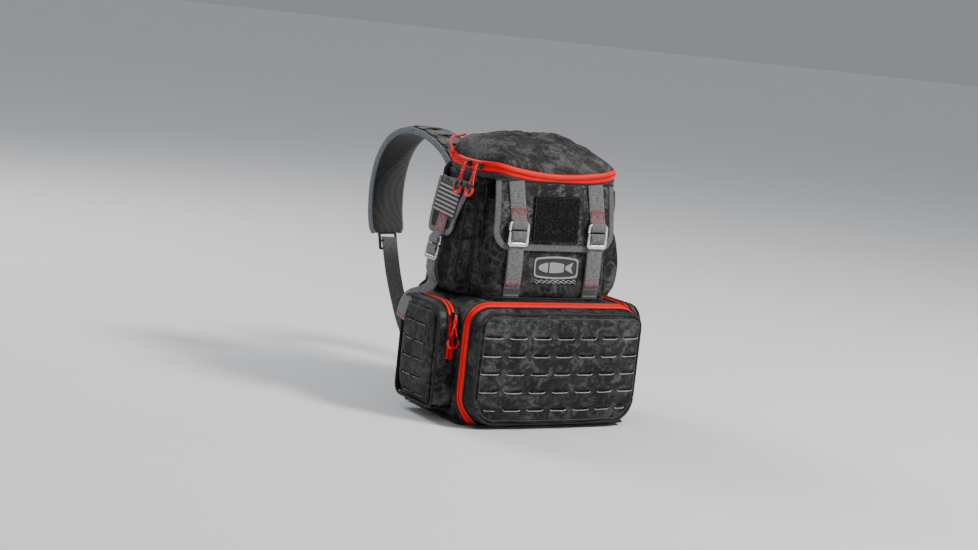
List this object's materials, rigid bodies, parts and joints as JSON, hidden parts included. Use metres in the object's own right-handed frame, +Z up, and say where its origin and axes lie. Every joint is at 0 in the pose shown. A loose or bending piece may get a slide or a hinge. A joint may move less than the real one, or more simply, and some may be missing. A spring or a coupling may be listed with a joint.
{
  "type": "tackle backpack",
  "caption": "Fishing tackle backpack: zipped tray compartment with webbing grid, domed zipped lid, buckled flaps over open pouches, side pockets and padded shoulder straps.",
  "frame": {"origin": "centre of the base's flat rest face, on the floor", "axes": "X is the width and +X is on the right when the front door is seen from outside; -Y is the front door's side, +Y the wearer's side; +Z is up"},
  "size_m": [0.3448, 0.3851, 0.4069],
  "materials": {
    "pack_fabric": "mottled dark grey and black woven nylon",
    "trim_fabric": "laser-cut laminate",
    "mesh_padding": "black spacer mesh",
    "grey_webbing": "ribbed heathered webbing",
    "red_zip": "saturated red coated zip tape",
    "red_cord": "red cord with moulded end",
    "badge_rubber": "moulded grey patch",
    "loop_pile": "black loop pile",
    "buckle_metal": "satin silver",
    "slider_metal": "black"
  },
  "bodies": {
    "pack": {"base_panel": "pack_fabric", "back_panel": "pack_fabric", "left_back_pad": "mesh_padding", "right_back_pad": "mesh_padding", "lumbar_pad": "mesh_padding", "left_lower_wall": "pack_fabric", "right_lower_wall": "pack_fabric", "divider_shelf": "pack_fabric", "left_upper_wall": "pack_fabric", "right_upper_wall": "pack_fabric", "upper_front_wall": "pack_fabric", "top_rim": "pack_fabric", "front_pouch": "pack_fabric", "badge": "badge_rubber", "lid_zip_body_tape": "red_zip", "front_zip_body_tape": "red_zip", "left_pocket_frame": "pack_fabric", "right_pocket_frame": "pack_fabric", "side_zip_body_tapes": "red_zip", "left_side_pouch": "pack_fabric", "right_side_pouch": "pack_fabric", "left_shoulder_webbing": "grey_webbing", "right_shoulder_webbing": "grey_webbing"},
    "front_door": {"front_door": "pack_fabric", "front_grid_panel": "pack_fabric", "front_zip_door_tape": "red_zip"},
    "lid": {"lid_shell": "pack_fabric", "lid_zip_lid_tape": "red_zip"},
    "front_flap": {"front_flap": "pack_fabric", "flap_binding": "grey_webbing", "loop_patch": "loop_pile", "flap_straps": "grey_webbing"},
    "left_buckle": {"left_buckle": "buckle_metal", "left_front_strap": "grey_webbing"},
    "right_buckle": {"right_buckle": "buckle_metal", "right_front_strap": "grey_webbing"},
    "left_pocket_door": {"left_pocket_door": "pack_fabric", "left_pocket_trim": "trim_fabric"},
    "right_pocket_door": {"right_pocket_door": "pack_fabric", "right_pocket_trim": "trim_fabric"},
    "left_flap": {"left_flap": "pack_fabric", "left_flap_trim": "grey_webbing"},
    "right_flap": {"right_flap": "pack_fabric", "right_flap_trim": "grey_webbing"},
    "left_side_buckle": {"left_side_buckle": "buckle_metal", "left_side_strap": "grey_webbing"},
    "right_side_buckle": {"right_side_buckle": "buckle_metal", "right_side_strap": "grey_webbing"},
    "haul_handle": {"haul_handle": "grey_webbing"},
    "left_shoulder_strap": {"left_shoulder_pad": "mesh_padding"},
    "right_shoulder_strap": {"right_shoulder_pad": "mesh_padding"},
    "front_slider": {"front_slider": "slider_metal"},
    "left_slider": {"left_slider": "slider_metal"},
    "right_slider": {"right_slider": "slider_metal"},
    "rear_lid_slider": {"rear_lid_slider": "slider_metal"},
    "front_lid_slider": {"front_lid_slider": "slider_metal"},
    "front_pull": {"front_pull": "red_cord"},
    "left_pull": {"left_pull": "red_cord"},
    "right_pull": {"right_pull": "red_cord"},
    "rear_lid_pull": {"rear_lid_pull": "red_cord"},
    "front_lid_pull": {"front_lid_pull": "red_cord"}
  },
  "joints": [
    {"name": "front_door_hinge", "type": "hinge", "parent": "pack", "child": "front_door", "pos_m": [0, -0.09, 0.007], "axis": [1, 0, 0], "range_deg": [0, 90]},
    {"name": "lid_hinge", "type": "hinge", "parent": "pack", "child": "lid", "pos_m": [0, 0.09, 0.357], "axis": [-1, 0, 0], "range_deg": [0, 88]},
    {"name": "front_flap_hinge", "type": "hinge", "parent": "pack", "child": "front_flap", "pos_m": [0, -0.0435, 0.337], "axis": [-1, 0, 0], "range_deg": [0, 55]},
    {"name": "left_buckle_hinge", "type": "hinge", "parent": "pack", "child": "left_buckle", "pos_m": [-0.066, -0.0392, 0.182], "axis": [1, 0, 0], "range_deg": [0, 86]},
    {"name": "right_buckle_hinge", "type": "hinge", "parent": "pack", "child": "right_buckle", "pos_m": [0.066, -0.0392, 0.182], "axis": [1, 0, 0], "range_deg": [0, 86]},
    {"name": "left_pocket_hinge", "type": "hinge", "parent": "pack", "child": "left_pocket_door", "pos_m": [-0.17, 0, 0.0205], "axis": [0, -1, 0], "range_deg": [0, 40]},
    {"name": "right_pocket_hinge", "type": "hinge", "parent": "pack", "child": "right_pocket_door", "pos_m": [0.17, 0, 0.0205], "axis": [0, 1, 0], "range_deg": [0, 40]},
    {"name": "left_flap_hinge", "type": "hinge", "parent": "pack", "child": "left_flap", "pos_m": [-0.119, 0, 0.334], "axis": [0, 1, 0], "range_deg": [0, 75]},
    {"name": "right_flap_hinge", "type": "hinge", "parent": "pack", "child": "right_flap", "pos_m": [0.119, 0, 0.334], "axis": [0, -1, 0], "range_deg": [0, 75]},
    {"name": "left_side_buckle_swing", "type": "hinge", "parent": "pack", "child": "left_side_buckle", "pos_m": [-0.1352, 0.048, 0.186], "axis": [1, 0, 0], "range_deg": [0, 11]},
    {"name": "right_side_buckle_swing", "type": "hinge", "parent": "pack", "child": "right_side_buckle", "pos_m": [0.1352, 0.048, 0.186], "axis": [1, 0, 0], "range_deg": [0, 11]},
    {"name": "haul_handle_hinge", "type": "hinge", "parent": "pack", "child": "haul_handle", "pos_m": [0, 0.0968, 0.32], "axis": [1, 0, 0], "range_deg": [-50, 20]},
    {"name": "left_shoulder_hinge", "type": "hinge", "parent": "pack", "child": "left_shoulder_strap", "pos_m": [-0.062, 0.101, 0.318], "axis": [-1, 0, 0], "range_deg": [-10, 0]},
    {"name": "right_shoulder_hinge", "type": "hinge", "parent": "pack", "child": "right_shoulder_strap", "pos_m": [0.062, 0.101, 0.318], "axis": [-1, 0, 0], "range_deg": [-10, 0]},
    {"name": "front_slider_slide", "type": "slide", "parent": "pack", "child": "front_slider", "axis": [0, 0, 1], "range_m": [-0.045, 0.01]},
    {"name": "left_slider_slide", "type": "slide", "parent": "pack", "child": "left_slider", "axis": [0, 0, 1], "range_m": [-0.04, 0.004]},
    {"name": "right_slider_slide", "type": "slide", "parent": "pack", "child": "right_slider", "axis": [0, 0, 1], "range_m": [-0.04, 0.004]},
    {"name": "rear_lid_slider_slide", "type": "slide", "parent": "pack", "child": "rear_lid_slider", "axis": [0, 1, 0], "range_m": [-0.006, 0.04]},
    {"name": "front_lid_slider_slide", "type": "slide", "parent": "pack", "child": "front_lid_slider", "axis": [0, 1, 0], "range_m": [-0.002, 0.004]},
    {"name": "front_pull_swing", "type": "hinge", "parent": "front_slider", "child": "front_pull", "pos_m": [0.147, -0.061, 0.098], "axis": [0, -1, 0], "range_deg": [0, 80]},
    {"name": "left_pull_swing", "type": "hinge", "parent": "left_slider", "child": "left_pull", "pos_m": [-0.15, -0.046, 0.15], "axis": [-1, 0, 0], "range_deg": [0, 70]},
    {"name": "right_pull_swing", "type": "hinge", "parent": "right_slider", "child": "right_pull", "pos_m": [0.15, -0.046, 0.15], "axis": [-1, 0, 0], "range_deg": [0, 70]},
    {"name": "rear_lid_pull_swing", "type": "hinge", "parent": "rear_lid_slider", "child": "rear_lid_pull", "pos_m": [-0.1204, 0.022, 0.357], "axis": [0, 1, 0], "range_deg": [0, 76]},
    {"name": "front_lid_pull_swing", "type": "hinge", "parent": "front_lid_slider", "child": "front_lid_pull", "pos_m": [-0.1204, -0.009, 0.357], "axis": [0, 1, 0], "range_deg": [0, 70]}
  ],
  "couplings": [
    {"joint": "left_buckle_hinge", "follows": "front_flap_hinge", "ratio": 1.55},
    {"joint": "right_buckle_hinge", "follows": "front_flap_hinge", "ratio": 1.55},
    {"joint": "rear_lid_pull_swing", "follows": "left_flap_hinge", "ratio": 1}
  ]
}
